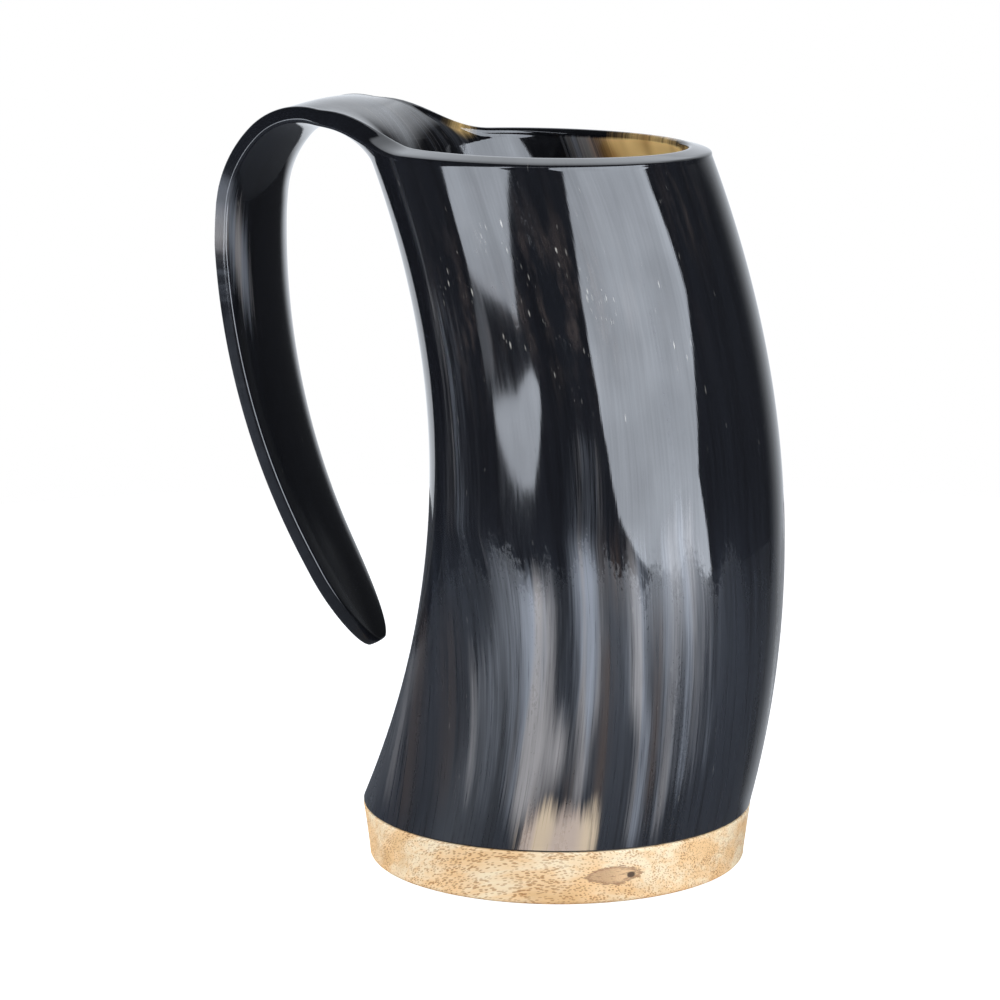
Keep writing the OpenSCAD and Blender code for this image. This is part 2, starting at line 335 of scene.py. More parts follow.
def horn_mesh_data():
    """Points, faces and places of the horn: two skins, rounded free edges and a flat lower end."""
    outer, inner, places, rows, cols, strip_rows = horn_skins()
    count = len(outer)
    strip_cols = 2 * ROOT_COLS + 1
    wall_at = np.arange(rows * cols).reshape(rows, cols)
    strip_at = np.arange(rows * cols, count).reshape(strip_rows, strip_cols)
    strip_at = np.vstack([wall_at[-1, :strip_cols], strip_at])
    wrapped = np.hstack([wall_at, wall_at[:, :1]])

    loop = np.concatenate([
        wall_at[-1, strip_cols - 1:],
        strip_at[:, 0],
        strip_at[-1, 1:-1],
        strip_at[:0:-1, -1]])
    middle = (outer[loop] + inner[loop]) / 2
    half = (outer[loop] - inner[loop]) / 2
    ahead = np.roll(middle, -1, axis=0) - np.roll(middle, 1, axis=0)
    reach = unit(np.cross(ahead, half))
    bevel = RIM_BEVEL * np.maximum(0, reach[:, 2:])
    past_rim = places[loop, 1:] - LIP_Z - RIM_RISE
    square = mix(EDGE_SQUARE_SHARE, STRIP_SQUARE_SHARE, smooth(past_rim / ROOT_FILLET))
    edge_rows = [loop]
    edge_points = []
    for step in range(1, EDGE_STEPS):
        quarter, part = divmod(2 * step / EDGE_STEPS, 1)
        f = math.pi / 2 * (quarter + smooth(part))
        side = np.copysign(abs(math.cos(f)) ** square, math.cos(f))
        high = math.sin(f) ** square
        edge_points.append(middle + half * side + reach * high * (EDGE_ROUND + bevel * (1 - side) / 2))
        edge_rows.append(2 * count + (step - 1) * len(loop) + np.arange(len(loop)))
    edge_rows.append(loop + count)
    edge_at = np.array(edge_rows)
    edge_at = np.hstack([edge_at, edge_at[:, :1]])

    faces = []
    for grid in (wrapped, strip_at):
        skin = quads(grid)
        faces += [skin, skin[:, ::-1] + count]
    faces.append(quads(edge_at))
    foot = np.vstack([wrapped[0] + count, wrapped[0]])
    faces.append(quads(foot))
    points = np.concatenate([outer, inner] + edge_points)
    all_places = np.concatenate([places, places] + [places[loop]] * (EDGE_STEPS - 1))
    inside = np.zeros((len(points), 1))
    inside[count:2 * count] = 1
    return points, np.concatenate(faces), np.hstack([all_places, inside])


def quads(grid):
    """Four-sided faces between the neighbours of a grid of point numbers."""
    return np.stack([grid[:-1, :-1], grid[:-1, 1:], grid[1:, 1:], grid[1:, :-1]], axis=-1).reshape(-1, 4)


def link_object(name, data):
    item = bpy.data.objects.new(name, data)
    bpy.context.scene.collection.objects.link(item)
    return item


def mesh_object(name, points_mm, faces, sharp_angle):
    """A closed smooth-shaded mesh in metres, with its faces turned outward."""
    mesh = bpy.data.meshes.new(name)
    mesh.from_pydata((points_mm * MM).tolist(), [], faces.tolist())
    work = bmesh.new()
    work.from_mesh(mesh)
    bmesh.ops.recalc_face_normals(work, faces=work.faces)
    work.to_mesh(mesh)
    work.free()
    mesh.shade_smooth()
    mesh.set_sharp_from_angle(angle=math.radians(sharp_angle))
    return link_object(name, mesh)


def write_values(piece, name, values):
    """A number or a vector for each point of a mesh, for its material to read."""
    kind = "FLOAT_VECTOR" if values.ndim == 2 else "FLOAT"
    field = "vector" if values.ndim == 2 else "value"
    attribute = piece.data.attributes.new(name, kind, "POINT")
    attribute.data.foreach_set(field, np.ascontiguousarray(values, dtype=np.float32).ravel())


# Shader helpers
class Graph:
    """Short forms for building the nodes of one material or world."""

    def __init__(self, tree):
        self.tree = tree
        tree.nodes.clear()

    def add(self, kind, inputs=None, **settings):
        item = self.tree.nodes.new(kind)
        for key, value in settings.items():
            setattr(item, key, value)
        for key, value in (inputs or {}).items():
            self.put(item.inputs[key], value)
        return item

    def put(self, socket, value):
        if isinstance(value, bpy.types.NodeSocket):
            self.tree.links.new(value, socket)
        else:
            socket.default_value = value

    def math(self, operation, *values):
        return self.add("ShaderNodeMath", dict(enumerate(values)), operation=operation).outputs[0]

    def vector(self, operation, *values):
        return self.add("ShaderNodeVectorMath", dict(enumerate(values)), operation=operation).outputs[0]

    def dot(self, first, second):
        inputs = {0: first, 1: second}
        return self.add("ShaderNodeVectorMath", inputs, operation="DOT_PRODUCT").outputs["Value"]

    def span(self, value, low, high, to_low=0.0, to_high=1.0):
        inputs = {"Value": value, "From Min": low, "From Max": high, "To Min": to_low, "To Max": to_high}
        return self.add("ShaderNodeMapRange", inputs, interpolation_type="SMOOTHSTEP").outputs["Result"]

    def noise(self, vector, scale, detail=2.0, roughness=0.5, distortion=0.0):
        inputs = {"Vector": self.vector("MULTIPLY", vector, scale), "Scale": 1.0, "Detail": detail,
                  "Roughness": roughness, "Distortion": distortion}
        return self.add("ShaderNodeTexNoise", inputs).outputs["Fac"]

    def cells(self, vector, scale):
        inputs = {"Vector": self.vector("MULTIPLY", vector, scale), "Scale": 1.0, "Randomness": 1.0}
        return self.add("ShaderNodeTexVoronoi", inputs).outputs

    def swing(self, noise, amount):
        """A noise turned into a shift about zero."""
        return self.math("MULTIPLY", self.math("SUBTRACT", noise, 0.5), amount)

    def blend(self, factor, first, second, clamped=True):
        item = self.add("ShaderNodeMix", data_type="RGBA", clamp_factor=clamped)
        self.put(item.inputs["Factor"], factor)
        self.put(item.inputs["A"], first)
        self.put(item.inputs["B"], second)
        return item.outputs["Result"]

    def bump(self, height, strength, depth, normal=None):
        inputs = {"Height": height, "Strength": strength, "Distance": depth}
        if normal is not None:
            inputs["Normal"] = normal
        return self.add("ShaderNodeBump", inputs).outputs["Normal"]

    def oval(self, place, centre, half, sharpness):
        """1 in the middle of an oval patch, 0 on its edge; a sharpness of 1 gives it pointed ends."""
        off = self.vector("SUBTRACT", place, (centre[0], centre[1], 0.0))
        off = self.vector("ABSOLUTE", self.vector("DIVIDE", off, (half[0], half[1], 1.0)))
        parts = self.add("ShaderNodeSeparateXYZ", {0: off}).outputs
        across = self.math("POWER", parts["X"], 2.0)
        upright = self.math("POWER", parts["Y"], sharpness)
        return self.math("SUBTRACT", 1.0, self.math("ADD", across, upright))

    def value(self, name):
        return self.add("ShaderNodeAttribute", attribute_name=name).outputs["Fac"]

    def place(self, name):
        return self.add("ShaderNodeAttribute", attribute_name=name).outputs["Vector"]


def rgb(red, green, blue):
    return (red, green, blue, 1.0)


def new_material(name):
    item = bpy.data.materials.new(name)
    item.use_nodes = True
    return item, Graph(item.node_tree)


def material(name, build):
    """A material whose surface is the Principled shader that build returns the inputs of."""
    item, g = new_material(name)
    shader = g.add("ShaderNodeBsdfPrincipled", build(g))
    g.add("ShaderNodeOutputMaterial", {"Surface": shader.outputs["BSDF"]})
    return item


# Polished horn: colours
HORN_BLACK = rgb(0.0042, 0.0042, 0.0052)
HORN_SLATE = rgb(0.0165, 0.0185, 0.0235)
HORN_COOL = rgb(0.232, 0.244, 0.268)
HORN_WARM = rgb(0.290, 0.268, 0.255)
HORN_BROWN = rgb(0.040, 0.027, 0.021)
HORN_CREAM = rgb(0.53, 0.405, 0.27)
HORN_PINK = rgb(0.43, 0.33, 0.26)
HORN_RUST = rgb(0.42, 0.21, 0.065)
HORN_AMBER = rgb(0.86, 0.58, 0.23)
HORN_FLECK_GLINT = rgb(0.50, 0.47, 0.41)
HORN_CLOUD = rgb(0.060, 0.047, 0.042)
HORN_IOR = 1.65
# Painted glow: emission that stands in for light seeping through the thin amber horn
AMBER_PAINTED_GLOW = 0.19
# Scales of the noises per millimetre: twice across the grain, then along it
DRIFT_SCALE = (0.05, 0.05, 0.012)
BROAD_SCALE = (0.16, 0.16, 0.010)
STREAK_SCALE = (0.75, 0.75, 0.020)
THREAD_SCALE = (2.6, 2.6, 0.05)
HUE_SCALE = (0.30, 0.30, 0.010)
HONEY_SCALE = (0.07, 0.07, 0.03)
CLOUD_SCALE = (0.40, 0.40, 0.07)
FLECK_SCALE = (2.3, 2.3, 0.42)
CROWD_SCALE = (0.24, 0.24, 0.10)
SPECKLE_SCALE = (1.8, 1.8, 0.7)
SMUDGE_SCALE = (0.06, 0.06, 0.04)
LINE_SCALE = (3.4, 3.4, 0.05)
RIPPLE_SCALE = (0.7, 0.7, 0.03)
# Shares of two noises in the mottling, and how far noises swing the grain and the edges of marks
BROAD_SHARE, STREAK_SHARE = 0.45, 0.55
DRIFT_SWING, THREAD_SWING = 4.0, 0.36
PALE_AND_SHEEN_SWING, CREAM_SWING, AMBER_SWING = 1.3, 1.9, 0.5
WORN_SWING, SPECKLE_SWING = 2.2, 1.0
# Spans: where a value starts to count and where it counts in full, then what it gives there if not 0 and 1
HAZE_SPAN = (0.30, 0.66, 0.3, 1.3)
PALE_AND_SHEEN_SPAN, PALE_AND_SHEEN_EDGE = (0.05, 1.10), (0.0, 0.14)
CREAM_SPAN, CREAM_EDGE = (0.12, 0.80), (0.0, 0.30)
AMBER_SPAN, AMBER_EDGE = (0.15, 0.60), (0.02, 0.25)
HUE_SPAN, BROWN_SPAN = (0.42, 0.60), (0.36, 0.56)
PINK_SPAN, HONEY_SPAN = (0.40, 0.56), (0.34, 0.56)
CLOUD_SPAN, CROWD_SPAN = (0.46, 0.72), (0.50, 0.66, 0.0, 1.5)
FLECK_SPAN, DASH_SPAN = (0.96, 1.06), (0.0, 0.40)
POLISH_SPAN = (0.2, 0.9, 0.03, 0.06)
WORN_SPAN = (0.35, 0.70, 0.0, 0.24)
GLOSS_SPAN = (0.3, 0.7, 0.475, 0.525)
SMUDGE_SPAN = (0.3, 0.7, -0.05, 0.06)
# Least size of the flecks in their cells, how much it varies, and how uneven their brightness is
FLECK_SIZE, FLECK_SIZE_MORE, FLECK_POWER = 0.22, 0.30, 2.0
SATIN_ROUGHNESS = 0.09
# Depth of the fine lines and of the ripple in the polish, in metres
LINE_DEPTH, RIPPLE_DEPTH = 0.000003, 0.0000025


def mark_share(g, name, mottle, swing, span, edge):
    """Share of a mark whose edge is broken up by the mottling."""
    mark = g.value(name)
    broken = g.math("ADD", mark, g.swing(mottle, swing))
    return g.math("MULTIPLY", g.span(broken, *span), g.span(mark, *edge))


def horn_inputs(g):
    grain = g.place("grain")
    shift = g.swing(g.noise(grain, DRIFT_SCALE, detail=1.0), DRIFT_SWING)
    flow = g.vector("ADD", grain, g.add("ShaderNodeCombineXYZ", {"X": shift, "Y": shift}).outputs[0])
    broad = g.noise(flow, BROAD_SCALE, detail=2.0)
    streak = g.noise(flow, STREAK_SCALE, detail=3.0, roughness=0.65)
    thread = g.noise(flow, THREAD_SCALE, detail=2.0, roughness=0.6)
    mottle = g.math("ADD", g.math("MULTIPLY", broad, BROAD_SHARE), g.math("MULTIPLY", streak, STREAK_SHARE))
    mottle = g.math("ADD", mottle, g.swing(thread, THREAD_SWING))

    haze = g.math("MULTIPLY", g.value("veil"), g.span(mottle, *HAZE_SPAN))
    colour = g.blend(haze, HORN_BLACK, HORN_SLATE)
    # Pale grey of the horn's own streaks, and of the painted highlights and sheen on the handle and inside
    # the rim
    pale_and_sheen_share = mark_share(g, "pale_streaks_and_sheen", mottle, PALE_AND_SHEEN_SWING, PALE_AND_SHEEN_SPAN, PALE_AND_SHEEN_EDGE)
    hue = g.math("ADD", g.noise(flow, HUE_SCALE, detail=1.0), g.value("blush"))
    colour = g.blend(pale_and_sheen_share, colour, g.blend(g.span(hue, *HUE_SPAN), HORN_COOL, HORN_WARM))
    brown_share = g.math("MULTIPLY", g.value("brown"), g.span(streak, *BROWN_SPAN))
    colour = g.blend(brown_share, colour, HORN_BROWN)
    cream_share = mark_share(g, "cream", mottle, CREAM_SWING, CREAM_SPAN, CREAM_EDGE)
    colour = g.blend(cream_share, colour, g.blend(g.span(broad, *PINK_SPAN), HORN_PINK, HORN_CREAM))
    amber_share = mark_share(g, "amber", mottle, AMBER_SWING, AMBER_SPAN, AMBER_EDGE)
    honey = g.noise(grain, HONEY_SCALE, detail=2.0)
    gold = g.blend(g.span(honey, *HONEY_SPAN), HORN_RUST, HORN_AMBER)
    colour = g.blend(amber_share, colour, gold)

    fleck = g.value("fleck")
    cloud = g.span(g.noise(flow, CLOUD_SCALE, detail=4.0, roughness=0.65), *CLOUD_SPAN)
    colour = g.blend(g.math("MULTIPLY", fleck, cloud), colour, HORN_CLOUD)
    # Flecks of the horn, drawn bright as painted glints where the highlight is speckled
    cells = g.cells(flow, FLECK_SCALE)
    dice = g.add("ShaderNodeSeparateColor", {"Color": cells["Color"]}).outputs
    crowd = g.span(g.noise(flow, CROWD_SCALE, detail=1.0), *CROWD_SPAN)
    picked = g.span(g.math("ADD", dice["Red"], g.math("MULTIPLY", fleck, crowd)), *FLECK_SPAN)
    size = g.math("ADD", FLECK_SIZE, g.math("MULTIPLY", dice["Blue"], FLECK_SIZE_MORE))
    dash = g.span(g.math("SUBTRACT", size, cells["Distance"]), *DASH_SPAN)
    bright = g.math("POWER", dice["Green"], FLECK_POWER)
    glint = g.math("MULTIPLY", bright, g.math("MULTIPLY", picked, dash))
    colour = g.blend(glint, colour, HORN_FLECK_GLINT)

    speckle = g.noise(flow, SPECKLE_SCALE, detail=3.0, roughness=0.7)
    ragged = g.math("ADD", g.swing(broad, WORN_SWING), g.swing(speckle, SPECKLE_SWING))
    worn = g.math("ADD", g.value("worn"), ragged)
    roughness = g.math("ADD", g.span(thread, *POLISH_SPAN), g.span(worn, *WORN_SPAN))
    roughness = g.math("ADD", roughness, g.math("MULTIPLY", g.value("satin"), SATIN_ROUGHNESS))
    smudge = g.noise(grain, SMUDGE_SCALE, detail=3.0)
    gloss = g.math("ADD", g.span(thread, *GLOSS_SPAN), g.span(smudge, *SMUDGE_SPAN))
    lines = g.noise(flow, LINE_SCALE, detail=2.0, roughness=0.7)
    ripple = g.noise(flow, RIPPLE_SCALE, detail=1.0)
    normal = g.bump(ripple, 1.0, RIPPLE_DEPTH, g.bump(lines, 1.0, LINE_DEPTH))
    # The amber horn glows by its own emission, a painted glow
    amber_glow = g.math("MULTIPLY", amber_share, AMBER_PAINTED_GLOW)
    return {"Base Color": colour, "Roughness": roughness, "IOR": HORN_IOR, "Specular IOR Level": gloss,
            "Emission Color": gold, "Emission Strength": amber_glow, "Normal": normal}


# Waxed wood: colours
WOOD_PALE = rgb(0.89, 0.73, 0.49)
WOOD_TAN = rgb(0.83, 0.535, 0.26)
WOOD_DARK_PATCH = rgb(0.58, 0.34, 0.13)
WOOD_PORE = rgb(0.43, 0.20, 0.065)
KNOT_DARK = rgb(0.27, 0.125, 0.055)
KNOT_LIGHT = rgb(0.72, 0.47, 0.25)
WOOD_HOLE_SHADE = rgb(0.09, 0.05, 0.025)
WOOD_IOR = 1.48
# Scales of the noises per millimetre: along the fibre, across it and upright
TONE_SCALE = (0.04, 0.11, 0.16)
FIGURE_SCALE = (0.06, 0.7, 0.7)
BLOTCH_SCALE = (0.10, 0.25, 0.25)
PORE_SCALE = (0.80, 2.6, 2.6)
REACH_SCALE = (0.06, 0.3, 0.3)
RING_SCALE = (0.45, 2.6, 1.0)
# Spans, as for the horn
TONE_SPAN, FIGURE_SPAN, BLOTCH_SPAN = (0.37, 0.62), (0.42, 0.66), (0.25, 0.7)
REACH_SPAN, PORE_EDGE = (0.3, 0.7, 0.38, 0.53), (0.0, 0.16)
PORE_TONE_SPAN, PORE_FIGURE_SPAN = (0.35, 0.65, 0.7, 1.0), (0.34, 0.60, 0.55, 1.0)
WOOD_ROUGHNESS = (0.2, 0.8, 0.42, 0.55)
FIGURE_SHARE, FIGURE_RELIEF_SHARE = 0.6, 0.3
WOOD_BUMP, WOOD_DEPTH = 0.5, 0.0001
# Middle, half length and half height of the knot, and the hole beside its middle
KNOT_ANGLE = -124
KNOT_Z = 6.1
KNOT_HALF, KNOT_SHARPNESS = (6.6, 2.2), 1.2
HOLE_OFF = (-3.6, -0.2)
HOLE_HALF, HOLE_SHARPNESS = (1.1, 0.75), 2.0
RING_SWING, HOLE_RING_SHARE = 1.2, 0.5
RIND_SPAN = (0.20, 0.48, 0.85, 0.0)
FAR_END_SPAN = (-2.5, 2.5, 0.0, 0.4)
RING_SPAN = (0.48, 0.66, 0.0, 0.8)
KNOT_EDGE, HOLE_EDGE = (0.0, 0.20, 0.0, 0.95), (0.2, 0.9)


def wood_inputs(g):
    fibre = g.place("fibre")
    tone = g.noise(fibre, TONE_SCALE, detail=3.0, roughness=0.6)
    figure = g.noise(fibre, FIGURE_SCALE, detail=3.0, roughness=0.6)
    colour = g.blend(g.span(tone, *TONE_SPAN), WOOD_PALE, WOOD_TAN)
    colour = g.blend(g.math("MULTIPLY", g.span(figure, *FIGURE_SPAN), FIGURE_SHARE), colour, WOOD_TAN)
    blotch = g.noise(fibre, BLOTCH_SCALE, detail=2.0)
    dark_patch = g.math("MULTIPLY", g.value("dark_patch"), g.span(blotch, *BLOTCH_SPAN))
    colour = g.blend(dark_patch, colour, WOOD_DARK_PATCH)

    reach = g.span(g.noise(fibre, REACH_SCALE, detail=1.0), *REACH_SPAN)
    depth = g.math("SUBTRACT", reach, g.cells(fibre, PORE_SCALE)["Distance"])
    pore = g.math("MULTIPLY", g.span(depth, *PORE_EDGE), g.span(tone, *PORE_TONE_SPAN))
    pore = g.math("MULTIPLY", pore, g.span(figure, *PORE_FIGURE_SPAN))
    colour = g.blend(pore, colour, WOOD_PORE)

    where = g.place("knot_place")
    knot = g.oval(where, (0.0, 0.0), KNOT_HALF, KNOT_SHARPNESS)
    rings = g.noise(where, RING_SCALE, detail=3.0, roughness=0.6, distortion=0.6)
    ragged = g.math("ADD", knot, g.swing(rings, RING_SWING))
    far_end = g.span(g.add("ShaderNodeSeparateXYZ", {0: where}).outputs["X"], *FAR_END_SPAN)
    lines = g.math("MAXIMUM", far_end, g.span(rings, *RING_SPAN))
    inner = g.blend(g.math("MAXIMUM", g.span(ragged, *RIND_SPAN), lines), KNOT_LIGHT, KNOT_DARK)
    colour = g.blend(g.span(ragged, *KNOT_EDGE), colour, inner)
    # Painted shade: the knot's hole is drawn dark, not cut into the mesh
    hole = g.oval(where, HOLE_OFF, HOLE_HALF, HOLE_SHARPNESS)
    hole = g.math("ADD", hole, g.math("MULTIPLY", rings, HOLE_RING_SHARE))
    colour = g.blend(g.span(hole, *HOLE_EDGE), colour, WOOD_HOLE_SHADE)

    height = g.math("SUBTRACT", g.math("MULTIPLY", figure, FIGURE_RELIEF_SHARE), pore)
    normal = g.bump(height, WOOD_BUMP, WOOD_DEPTH)
    roughness = g.span(tone, *WOOD_ROUGHNESS)
    return {"Base Color": colour, "Roughness": roughness, "IOR": WOOD_IOR, "Normal": normal}


# Dried glue with painted glints on its beads, with noise scales per metre
GLUE_DARK = rgb(0.012, 0.010, 0.008)
GLUE_BROWN = rgb(0.05, 0.038, 0.028)
GLUE_GLINT = rgb(0.55, 0.52, 0.46)
GLUE_IOR = 1.5
GRIT_SCALE = (1500, 1500, 1500)
GLUE_GLINT_SCALE = (420, 420, 420)
GLUE_GLINT_SPAN = (0.70, 0.76)
GLUE_ROUGHNESS = (0.2, 0.8, 0.35, 0.6)


def glue_inputs(g):
    place = g.add("ShaderNodeTexCoord").outputs["Object"]
    grit = g.noise(place, GRIT_SCALE, detail=2.0)
    colour = g.blend(grit, GLUE_DARK, GLUE_BROWN)
    # Painted glints: light specks standing in for highlights on tiny glue beads
    glue_glint = g.span(g.noise(place, GLUE_GLINT_SCALE, detail=1.0), *GLUE_GLINT_SPAN)
    colour = g.blend(glue_glint, colour, GLUE_GLINT)
    return {"Base Color": colour, "Roughness": g.span(grit, *GLUE_ROUGHNESS), "IOR": GLUE_IOR}


# Clear resin over the plug's wood, with noise scales per metre
RESIN_LIGHT = rgb(0.30, 0.17, 0.075)
RESIN_DARK = rgb(0.20, 0.105, 0.045)
RESIN_IOR = 1.5
RESIN_FIGURE_SCALE = (40, 420, 420)
RESIN_RIPPLE_SCALE = (90, 90, 90)
RESIN_SPAN = (0.3, 0.7)
RESIN_ROUGHNESS = (0.2, 0.8, 0.08, 0.16)
RESIN_BUMP, RESIN_DEPTH = 0.3, 0.0003


def resin_inputs(g):
    place = g.add("ShaderNodeTexCoord").outputs["Object"]
    figure = g.noise(place, RESIN_FIGURE_SCALE, detail=3.0)
    colour = g.blend(g.span(figure, *RESIN_SPAN), RESIN_LIGHT, RESIN_DARK)
    ripple = g.noise(place, RESIN_RIPPLE_SCALE, detail=1.0)
    normal = g.bump(ripple, RESIN_BUMP, RESIN_DEPTH)
    roughness = g.span(figure, *RESIN_ROUGHNESS)
    return {"Base Color": colour, "Roughness": roughness, "IOR": RESIN_IOR, "Normal": normal}


# The horn: vessel and handle in one piece
GRAIN_R = 38
HORN_SHARP = 50
# Lean of the grain in degrees per millimetre: everywhere, and more of it on the handle's side of the front
GRAIN_LEAN, SIDE_LEAN = 0.16, 0.38
SIDE_TURN, SIDE_SPREAD = -48, 30
GRAIN_Z = 42
LEAN_TOP = 75
# Light and brown streaks of the horn: angle, half width, lowest and highest place, strength
LIGHT_STREAKS = (
    (-90, 4.8, 10, 74, 1.00), (-81, 5.0, 14, 80, 0.20), (-69, 2.6, 14, 58, 0.34), (-75, 4.0, 10, 64, 0.12),
    (-105, 3.5, 32, 80, 0.86), (-105, 2.4, 12, 46, 0.70), (-97.5, 3.6, 18, 46, 0.62),
    (-120, 3.2, 32, 82, 0.64), (-123, 2.8, 4, 48, 0.60), (-130, 2.4, 6, 84, 0.46),
    (-136, 4.0, 14, 88, 0.44), (-144, 3.0, 18, 80, 0.16), (-30, 6.0, 10, 60, 0.25), (96, 22, 14, 70, 0.5),
    (-68, 9.0, 66, 132, 0.19), (-106, 5.0, 60, 104, 0.20))
BROWN_STREAKS = (
    (-110.6, 1.8, 12, 62, 0.95), (-114, 4.0, 56, 82, 0.80), (-126, 1.6, 12, 70, 0.75),
    (-93.5, 2.6, 10, 33, 0.75), (-101, 3.0, 10, 36, 0.85), (-38, 6.0, 6, 62, 0.55),
    (-58, 5.0, 12, 64, 0.40))
STREAK_FADE = 14
# Flecked patches with painted glints: strength, angle and its spread, height and its spread
FLECK_PATCHES = ((0.72, -98, 30, 124, 15), (0.60, -62, 9, 118, 13), (0.60, -156, 8, 141, 7))
# Veil of slate, and the worn zone whose upper border dips at the handle's side
VEIL_LEAST, VEIL_Z, VEIL_FADE = 0.25, 48, 40
WORN_Z, WORN_FADE = 54, 28
WORN_DIP, WORN_DIP_TURN, WORN_DIP_SPREAD = 20, -15, 25
# Painted highlights and sheen, strength first: a painted highlight inside the rim, a painted highlight in a
# wedge down the handle, and a painted sheen on the crown
INNER_HIGHLIGHT, INNER_LIGHT_TURN, INNER_LIGHT_SPREAD = 0.8, 90, 7
INNER_LIGHT_Z, INNER_LIGHT_FADE = 120, 20
WEDGE_HIGHLIGHT, WEDGE_TURN, WEDGE_LEAN, WEDGE_SPREAD = 0.95, -27, 0.35, 6
WEDGE_START, WEDGE_RISE, WEDGE_END, WEDGE_FALL = -6, 16, 34, 24
CROWN_SHEEN, CROWN_LIGHT_RUN, CROWN_LIGHT_LENGTH = 0.5, 9, 10
CROWN_LIGHT_TURN, CROWN_LIGHT_SPREAD = 10, 45
SATIN_START, SATIN_FADE = -10, 12
# Cream patch at the foot and the warmer grey above it
CREAM_TURN, CREAM_HALF, CREAM_H = 100.5, 14.5, 10.5
CREAM_LEFT_FADE, CREAM_RIGHT_FADE, CREAM_MOST = 7, 9, 1.3
BLUSH, BLUSH_TURN, BLUSH_SPREAD = 0.22, -97, 12
BLUSH_Z, BLUSH_FADE = 24, 30
# Amber: the broad patch at the rim, a spot at the handle's root and a faint patch on the right
AMBER_TURN, AMBER_SPREAD = 124, 26
AMBER_Z, AMBER_FADE, AMBER_OUTSIDE_SHARE = 108, 30, 0.4
ROOT_AMBER, ROOT_AMBER_TURN, ROOT_AMBER_SPREAD = 0.9, 44, 5
ROOT_AMBER_RUN, ROOT_AMBER_LENGTH = 5, 4
FAINT_AMBER = (0.12, -158, 8, 141, 7)


def streaks(turn, along, bands):
    total = 0 * turn
    for centre, width, low, high, strength in bands:
        span = rise(along, low, STREAK_FADE) * fall(along, high, STREAK_FADE)
        total = total + strength * angle_bell(turn, centre, width) * span
    return np.clip(total, 0, 1)


def patch(degrees, height, strength, turn, turn_spread, middle, height_spread):
    return strength * angle_bell(degrees, turn, turn_spread) * bell(height, middle, height_spread)


def horn_marks(piece, places):
    """Values for the horn's material: the way of the grain, and how strong each mark, finish and painted
    highlight is.
    """
    angle, along, inside = places.T
    outside = 1 - inside
    degrees = wrap(np.degrees(angle))
    lean = GRAIN_LEAN + SIDE_LEAN * angle_bell(degrees, SIDE_TURN, SIDE_SPREAD)
    turn = degrees - lean * (np.minimum(along, LEAN_TOP) - GRAIN_Z)
    write_values(piece, "grain", np.stack(
        [-GRAIN_R * np.cos(np.radians(turn)), GRAIN_R * np.sin(np.radians(turn)), along], axis=1))

    write_values(piece, "veil", mix(VEIL_LEAST, 1, 1 - rise(along, VEIL_Z, VEIL_FADE)))
    border = WORN_Z - WORN_DIP * angle_bell(degrees, WORN_DIP_TURN, WORN_DIP_SPREAD)
    write_values(piece, "worn", 1 - rise(along, border, WORN_FADE))
    past_bend = along - LIP_Z - CROWN_END
    write_values(piece, "satin", rise(past_bend, SATIN_START, SATIN_FADE) * outside)

    # Painted highlight: a pale wedge down the handle's finger side, added to the horn's pale streaks
    highlight_wedge = bell(degrees, WEDGE_TURN + WEDGE_LEAN * past_bend, WEDGE_SPREAD)
    highlight_wedge = WEDGE_HIGHLIGHT * highlight_wedge * rise(past_bend, WEDGE_START, WEDGE_RISE)
    light = streaks(turn, along, LIGHT_STREAKS) + highlight_wedge * fall(past_bend, WEDGE_END, WEDGE_FALL)
    # Painted highlight on the inside of the rim at the back
    inner_highlight = INNER_HIGHLIGHT * angle_bell(degrees, INNER_LIGHT_TURN, INNER_LIGHT_SPREAD)
    inner_highlight = inner_highlight * rise(along, INNER_LIGHT_Z, INNER_LIGHT_FADE) * inside
    # Painted sheen on the top face of the handle's crown
    crown_sheen = CROWN_SHEEN * bell(along, LIP_Z + CROWN_LIGHT_RUN, CROWN_LIGHT_LENGTH)
    crown_sheen = crown_sheen * bell(degrees, CROWN_LIGHT_TURN, CROWN_LIGHT_SPREAD) * inside
    # The horn's own pale streaks, plus painted highlights inside the rim, down the handle and on the crown
    write_values(piece, "pale_streaks_and_sheen", np.clip(light * outside + inner_highlight + crown_sheen, 0, 1))

    write_values(piece, "brown", streaks(turn, along, BROWN_STREAKS) * outside)
    cream = smooth((turn + CREAM_TURN + CREAM_HALF) / CREAM_LEFT_FADE)
    cream = cream * smooth((CREAM_HALF - CREAM_TURN - turn) / CREAM_RIGHT_FADE)
    cream = cream * np.clip(CREAM_MOST - (along - HORN_Z0) / CREAM_H, 0, 1)
    write_values(piece, "cream", cream * outside)
    blush = BLUSH * angle_bell(turn, BLUSH_TURN, BLUSH_SPREAD) * (1 - rise(along, BLUSH_Z, BLUSH_FADE))
    write_values(piece, "blush", blush * outside)

    amber = angle_bell(degrees, AMBER_TURN, AMBER_SPREAD) * rise(along, AMBER_Z, AMBER_FADE)
    amber = amber * mix(AMBER_OUTSIDE_SHARE, 1, inside)
    root_amber = ROOT_AMBER * angle_bell(degrees, ROOT_AMBER_TURN, ROOT_AMBER_SPREAD)
    amber = amber + root_amber * bell(along, LIP_Z + ROOT_AMBER_RUN, ROOT_AMBER_LENGTH)
    amber = amber + patch(degrees, along, *FAINT_AMBER) * outside
    write_values(piece, "amber", np.clip(amber, 0, 1))
    flecked = sum(patch(degrees, along, *place) for place in FLECK_PATCHES)
    write_values(piece, "fleck", flecked * outside)


def horn_piece():
    points, faces, places = horn_mesh_data()
    piece = mesh_object("horn", points, faces, HORN_SHARP)
    horn_marks(piece, places)
    piece.data.materials.append(material("polished_horn", horn_inputs))
    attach(piece, "root")
    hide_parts("horn_body")
    return piece


